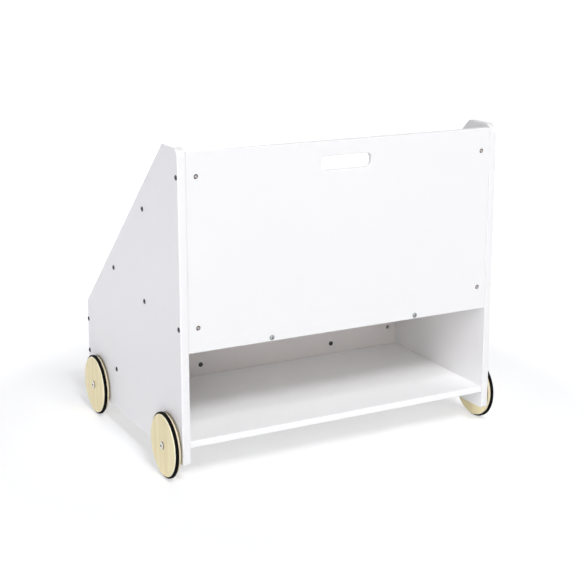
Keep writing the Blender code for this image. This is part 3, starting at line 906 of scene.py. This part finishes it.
class BOOKCASE_OT_wheels(bpy.types.Operator):
    """Turn a plywood disc with a groove for its rubber ring, and copy it to the four axles"""

    bl_idname = "bookcase.wheels"
    bl_label = "Wheels"

    def execute(self, context):
        sizes = context.scene.bookcase_sizes
        low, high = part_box("wheel_rear_left")
        ring_low, ring_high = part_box("tyre_rear_left")
        radius = (high.z - low.z) / 2
        thick = high.x - low.x
        bore = sizes.axle_radius + sizes.bore_gap
        seat = radius - sizes.tyre_seat
        groove_start = ring_low.x - low.x - sizes.bore_gap
        groove_end = ring_high.x - low.x + sizes.bore_gap
        profile = [
            (0, bore), (0, radius), (groove_start, radius), (groove_start, seat),
            (groove_end, seat), (groove_end, radius), (thick, radius), (thick, bore), (0, bore),
        ]
        master = turn_profile("wheel_master", profile, sizes.wheel_steps)
        round_edges(master, sizes.disc_edge, ring_at((0, radius), (thick, radius)), segments=4)
        fine = ring_at((groove_start, radius), (groove_end, radius), (0, bore), (thick, bore))
        round_edges(master, sizes.fine_edge, fine, segments=2)
        smooth(master)
        for (end, side), (outer, turn) in wheel_places().items():
            node = f"wheel_{end}_{side}"
            disc = place_copy(master, f"{node}_disc", outer, turn)
            dress(disc, f"{end}_{side}_wheel", "birch_plywood", finish_of(context, "birch_veneer"), node)
        drop(master)
        return {"FINISHED"}


class BOOKCASE_OT_tyres(bpy.types.Operator):
    """Turn a rubber ring and copy it to the four wheels"""

    bl_idname = "bookcase.tyres"
    bl_label = "Tyres"

    def execute(self, context):
        sizes = context.scene.bookcase_sizes
        disc_low, disc_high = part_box("wheel_rear_left")
        low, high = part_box("tyre_rear_left")
        first = low.x - disc_low.x
        last = high.x - disc_low.x
        outer = (high.z - low.z) / 2
        inner = (disc_high.z - disc_low.z) / 2 - sizes.tyre_seat + sizes.bore_gap
        profile = [(first, inner), (first, outer), (last, outer), (last, inner), (first, inner)]
        master = turn_profile("tyre_master", profile, sizes.wheel_steps)
        round_edges(master, sizes.tyre_edge, ring_at((first, outer), (last, outer)), segments=5)
        round_edges(master, sizes.fine_edge, ring_at((first, inner), (last, inner)), segments=2)
        smooth(master)
        for (end, side), (face, turn) in wheel_places().items():
            node = f"tyre_{end}_{side}"
            ring = place_copy(master, f"{node}_ring", face, turn)
            dress(ring, f"{end}_{side}_wheel", "rubber", finish_of(context, "black_rubber"), node)
        drop(master)
        return {"FINISHED"}


class BOOKCASE_OT_axles(bpy.types.Operator):
    """Turn an axle bolt and a spacer washer, and copy them to the four wheels"""

    bl_idname = "bookcase.axles"
    bl_label = "Axles"

    def execute(self, context):
        sizes = context.scene.bookcase_sizes
        low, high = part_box("axle_bolt_rear_left")
        head_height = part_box("wheel_rear_left")[0].x - sizes.bore_gap - low.x
        head = ((high.z - low.z) / 2, head_height, sizes.axle_land)
        shank = (sizes.axle_radius, high.x - low.x)
        socket = (sizes.axle_flats, sizes.axle_socket)
        bolt = shape_bolt("axle_master", head, shank, socket, sizes.metal_steps)
        smooth(bolt)
        washer, washer_face = self.shape_washer(sizes)
        material = finish_of(context, "axle_zinc")
        for (end, side), (outer, turn) in wheel_places().items():
            top = Vector((-SIDES[side] * low.x, outer.y, outer.z))
            node = f"axle_bolt_{end}_{side}"
            dress(place_copy(bolt, f"{node}_domed", top, turn), "case", "zinc_steel", material, node)
            face = Vector((-SIDES[side] * washer_face, outer.y, outer.z))
            node = f"axle_washer_{end}_{side}"
            dress(place_copy(washer, f"{node}_ring", face, turn), "case", "zinc_steel", material, node)
        drop(bolt)
        drop(washer)
        return {"FINISHED"}

    def shape_washer(self, sizes):
        """A spacer washer along +X from the origin, and the place of its outer face on the left."""
        low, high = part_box("axle_washer_rear_left")
        thick = high.x - low.x
        radius = (high.z - low.z) / 2
        bore = sizes.axle_radius + sizes.bore_gap
        profile = [(0, bore), (0, radius), (thick, radius), (thick, bore), (0, bore)]
        washer = turn_profile("washer_master", profile, sizes.metal_steps)
        rims = ring_at((0, radius), (thick, radius), (0, bore), (thick, bore))
        round_edges(washer, sizes.fine_edge, rims, segments=2)
        smooth(washer)
        return washer, low.x


# Stage

class BOOKCASE_OT_stage(bpy.types.Operator):
    """Set up the pale floor, the soft studio light and the camera"""

    bl_idname = "bookcase.stage"
    bl_label = "Stage"

    # Lamps by name: azimuth from the rear towards the right and elevation in degrees, size, and watts.
    LAMPS = {
        "key": (2, 45, 2.6, 790.0),
        "high": (6, 58, 2.0, 310.0),
        "camera_fill": (32, 21, 6.2, 320.0),
        "right_fill": (80, 7, 4.0, 525.0),
        "front_fill": (190, 12, 6.0, 480.0),
        "left_fill": (272, 8, 5.0, 400.0),
    }
    LAMP_REACH = 12.6
    DAYLIGHT = (0.955, 0.965, 1.0)
    TINTS = {"right_fill": (0.915, 0.91, 1.0)}
    AIM = Vector((0.0, 0.0, 0.3))
    FLOOR_SPAN = 60.0

    def execute(self, context):
        studio = context.scene.bookcase_studio
        self.add_floor(studio)
        self.add_world(context.scene, studio)
        for name, (azimuth, elevation, size, power) in self.LAMPS.items():
            self.add_lamp(name, self.lamp_place(azimuth, elevation), size, power)
        self.add_camera(context.scene, studio)
        context.scene.view_settings.view_transform = "Standard"
        return {"FINISHED"}

    def seen_ray(self, tree):
        """A value that is 1 for rays that show the stage itself, and 0 for its light on the object."""
        path = add_node(tree, "ShaderNodeLightPath").outputs
        seen = math_node(tree, "MAXIMUM", path["Is Camera Ray"], path["Is Glossy Ray"])
        return math_node(tree, "MAXIMUM", seen, path["Is Transmission Ray"])

    def add_floor(self, studio):
        """A pale floor that shows white and keeps the object's shadow."""
        free_selection()
        bpy.ops.mesh.primitive_plane_add(size=self.FLOOR_SPAN)
        floor = take_new("studio_floor")
        material = bpy.data.materials.new("pale_floor")
        material.use_nodes = True
        tree = material.node_tree
        tree.nodes.clear()
        shade = add_node(tree, "ShaderNodeBsdfDiffuse", {"Color": rgba((studio.floor_shade,) * 3)})
        where = add_node(tree, "ShaderNodeTexCoord").outputs["Object"]
        away = add_node(tree, "ShaderNodeVectorMath", {0: where}, operation="LENGTH").outputs["Value"]
        reach = (studio.floor_near, studio.floor_far)
        white = range_node(tree, away, span=reach, to=(studio.floor_glow, 1.0))
        glow = add_node(tree, "ShaderNodeEmission", {"Strength": white})
        shown = add_node(tree, "ShaderNodeAddShader", {0: shade.outputs[0], 1: glow.outputs[0]})
        bounce = add_node(tree, "ShaderNodeBsdfDiffuse", {"Color": rgba((studio.floor_bounce,) * 3)})
        mixed = add_node(tree, "ShaderNodeMixShader", {
            0: self.seen_ray(tree), 1: bounce.outputs[0], 2: shown.outputs[0]})
        add_node(tree, "ShaderNodeOutputMaterial", {"Surface": mixed.outputs[0]})
        floor.data.materials.append(material)

    def add_world(self, scene, studio):
        """A white background whose light on the object has a strength of its own."""
        world = bpy.data.worlds.new("studio_world")
        world.use_nodes = True
        tree = world.node_tree
        background = tree.nodes["Background"]
        background.inputs["Color"].default_value = (1.0, 1.0, 1.0, 1.0)
        strength = range_node(tree, self.seen_ray(tree), to=(studio.sky, 1.0))
        tree.links.new(strength, background.inputs["Strength"])
        scene.world = world

    def lamp_place(self, azimuth, elevation):
        """Where a lamp stands round the object."""
        turn = math.radians(azimuth)
        rise = math.radians(elevation)
        way = Vector((math.sin(turn) * math.cos(rise), math.cos(turn) * math.cos(rise), math.sin(rise)))
        return self.AIM + self.LAMP_REACH * way

    def add_lamp(self, name, place, size, power):
        """A square soft lamp aimed at the object."""
        aim = (self.AIM - place).to_track_quat("-Z", "Y").to_euler()
        bpy.ops.object.light_add(type="AREA", location=place, rotation=aim)
        lamp = bpy.context.active_object
        lamp.name = name
        lamp.data.name = name
        lamp.data.shape = "SQUARE"
        lamp.data.size = size
        lamp.data.energy = power
        lamp.data.color = self.TINTS.get(name, self.DAYLIGHT)

    def add_camera(self, scene, studio):
        """A camera behind the bookcase and to its right, as in the photograph."""
        turn = (math.pi / 2 - studio.tilt, 0, math.pi - studio.swing)
        bpy.ops.object.camera_add(location=studio.place, rotation=turn)
        camera = bpy.context.active_object
        camera.name = "photo_camera"
        camera.data.lens = studio.lens
        camera.data.shift_y = studio.shift
        scene.camera = camera


# Add-on

PIECE_OPERATORS = (
    BOOKCASE_OT_side_panels,
    BOOKCASE_OT_cross_boards,
    BOOKCASE_OT_level_boards,
    BOOKCASE_OT_connector_bolts,
    BOOKCASE_OT_barrel_nuts,
    BOOKCASE_OT_wheels,
    BOOKCASE_OT_tyres,
    BOOKCASE_OT_axles,
    BOOKCASE_OT_stage,
)


class VIEW3D_PT_bookcase(bpy.types.Panel):
    """Lists the bookcase's pieces and its stage"""

    bl_label = "Bookcase"
    bl_space_type = "VIEW_3D"
    bl_region_type = "UI"
    bl_category = "Bookcase"

    def draw(self, context):
        for operator in PIECE_OPERATORS:
            self.layout.operator(operator.bl_idname)


CLASSES = (BookcaseSizes, BookcaseFinishes, BookcaseStudio, *PIECE_OPERATORS, VIEW3D_PT_bookcase)


def register():
    """Register the classes, and give every scene its sizes, finishes and studio."""
    for kind in CLASSES:
        bpy.utils.register_class(kind)
    bpy.types.Scene.bookcase_sizes = PointerProperty(type=BookcaseSizes)
    bpy.types.Scene.bookcase_finishes = PointerProperty(type=BookcaseFinishes)
    bpy.types.Scene.bookcase_studio = PointerProperty(type=BookcaseStudio)


def unregister():
    """Take back what register gave."""
    del bpy.types.Scene.bookcase_studio
    del bpy.types.Scene.bookcase_finishes
    del bpy.types.Scene.bookcase_sizes
    for kind in reversed(CLASSES):
        bpy.utils.unregister_class(kind)


def main():
    """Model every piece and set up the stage."""
    register()
    bpy.ops.bookcase.side_panels()
    bpy.ops.bookcase.cross_boards()
    bpy.ops.bookcase.level_boards()
    bpy.ops.bookcase.connector_bolts()
    bpy.ops.bookcase.barrel_nuts()
    bpy.ops.bookcase.wheels()
    bpy.ops.bookcase.tyres()
    bpy.ops.bookcase.axles()
    bpy.ops.bookcase.stage()


if __name__ == "__main__":
    main()
